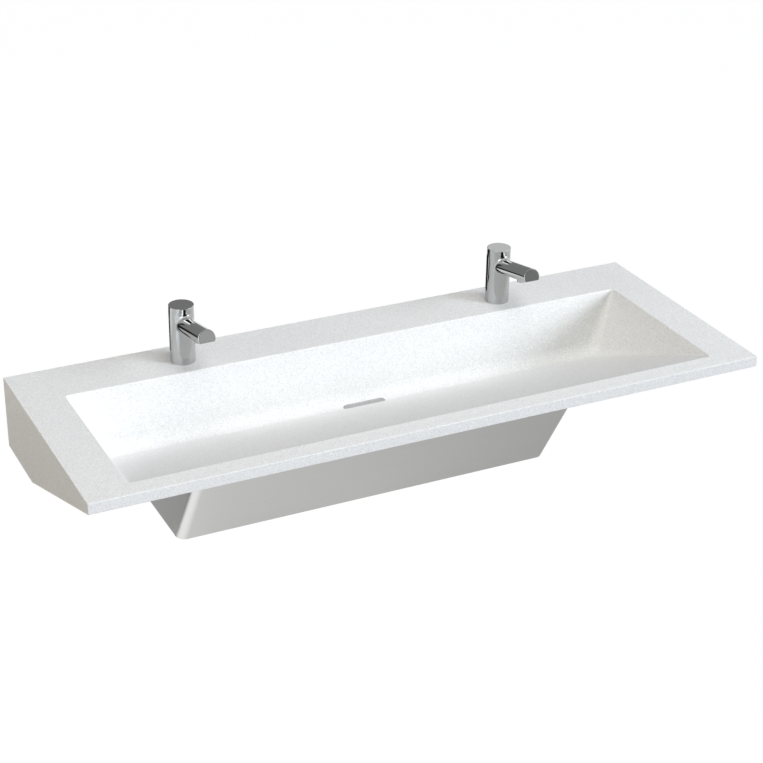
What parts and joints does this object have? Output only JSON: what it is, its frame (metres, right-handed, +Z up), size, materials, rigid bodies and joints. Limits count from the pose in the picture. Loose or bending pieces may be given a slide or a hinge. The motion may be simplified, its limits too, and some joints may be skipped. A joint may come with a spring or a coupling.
{
  "type": "handwashing sink",
  "caption": "Wall-hung trough basin with touch-free taps, a hidden slot drain and a sheet-steel trap cover.",
  "frame": {"origin": "centre of the four wall bolts, on the wall plane", "axes": "+X along the basin, +Z up, +Y into the wall; the user stands on the -Y side"},
  "size_m": [1.524, 0.61, 0.5015],
  "materials": {
    "solid_surface": "cast, matt honed, finely speckled",
    "chrome": "polished chrome plate",
    "brushed_stainless": "brushed with a fine grain along the cover",
    "galvanised_steel": "hot-dip galvanised",
    "zinc_steel": "bright zinc plate",
    "brass": "turned, unplated",
    "rubber": "moulded",
    "braided_steel": "braided over the hose",
    "black_plastic": "moulded, fine texture",
    "grey_plastic": "moulded, fine texture",
    "red_plastic": "moulded",
    "blue_plastic": "moulded",
    "lens": "smoked, polished",
    "circuit_board": "lacquered"
  },
  "bodies": {
    "sink": {"basin": "solid_surface", "wall_bracket_left": "galvanised_steel", "wall_bracket_right": "galvanised_steel", "cross_rail": "galvanised_steel", "rail_bolts": "zinc_steel", "deck_screws": "zinc_steel", "deck_inserts": "brass", "drain_hopper": "black_plastic", "hopper_gasket": "rubber", "hopper_screws": "zinc_steel", "tailpiece": "chrome", "slip_nuts": "chrome", "slip_washers": "rubber", "trap_bend": "chrome", "trap_arm": "chrome", "wall_escutcheon": "chrome", "trap_cover": "brushed_stainless", "cover_screws": "zinc_steel", "cover_inserts": "brass", "hot_stop_body": "chrome", "cold_stop_body": "chrome", "hot_hose": "braided_steel", "cold_hose": "braided_steel", "mixing_valve_body": "brass", "mixed_water_pipe": "brass", "control_box": "grey_plastic", "control_box_lid": "grey_plastic", "lid_screws": "zinc_steel", "box_screws": "zinc_steel", "valve_manifold": "brass", "solenoid_left": "black_plastic", "solenoid_right": "black_plastic", "control_board": "circuit_board", "battery_pack": "black_plastic", "tap_body_left": "chrome", "tap_cap_left": "chrome", "aerator_left": "black_plastic", "sensor_eye_left": "lens", "base_seal_left": "rubber", "shank_left": "brass", "shank_washer_left": "zinc_steel", "shank_nut_left": "brass", "tap_hose_left": "braided_steel", "sensor_cable_left": "rubber", "tap_body_right": "chrome", "tap_cap_right": "chrome", "aerator_right": "black_plastic", "sensor_eye_right": "lens", "base_seal_right": "rubber", "shank_right": "brass", "shank_washer_right": "zinc_steel", "shank_nut_right": "brass", "tap_hose_right": "braided_steel", "sensor_cable_right": "rubber"},
    "drain_cover": {"drain_cover": "brushed_stainless"},
    "hot_handle": {"hot_stop_handle": "red_plastic"},
    "cold_handle": {"cold_stop_handle": "blue_plastic"},
    "mixing_dial": {"mixing_valve_dial": "black_plastic"}
  },
  "joints": [
    {"name": "drain_cover_lift", "type": "slide", "parent": "sink", "child": "drain_cover", "axis": [0, 0, 1], "range_m": [0, 0.08]},
    {"name": "hot_stop_turn", "type": "hinge", "parent": "sink", "child": "hot_handle", "pos_m": [-0.235, -0.1, -0.195], "axis": [0, 1, 0], "range_deg": [0, 90]},
    {"name": "cold_stop_turn", "type": "hinge", "parent": "sink", "child": "cold_handle", "pos_m": [-0.065, -0.1, -0.195], "axis": [0, 1, 0], "range_deg": [0, 90]},
    {"name": "mixing_dial_turn", "type": "hinge", "parent": "sink", "child": "mixing_dial", "pos_m": [-0.15, -0.1, -0.137], "axis": [0, 1, 0], "range_deg": [-135, 135]}
  ]
}
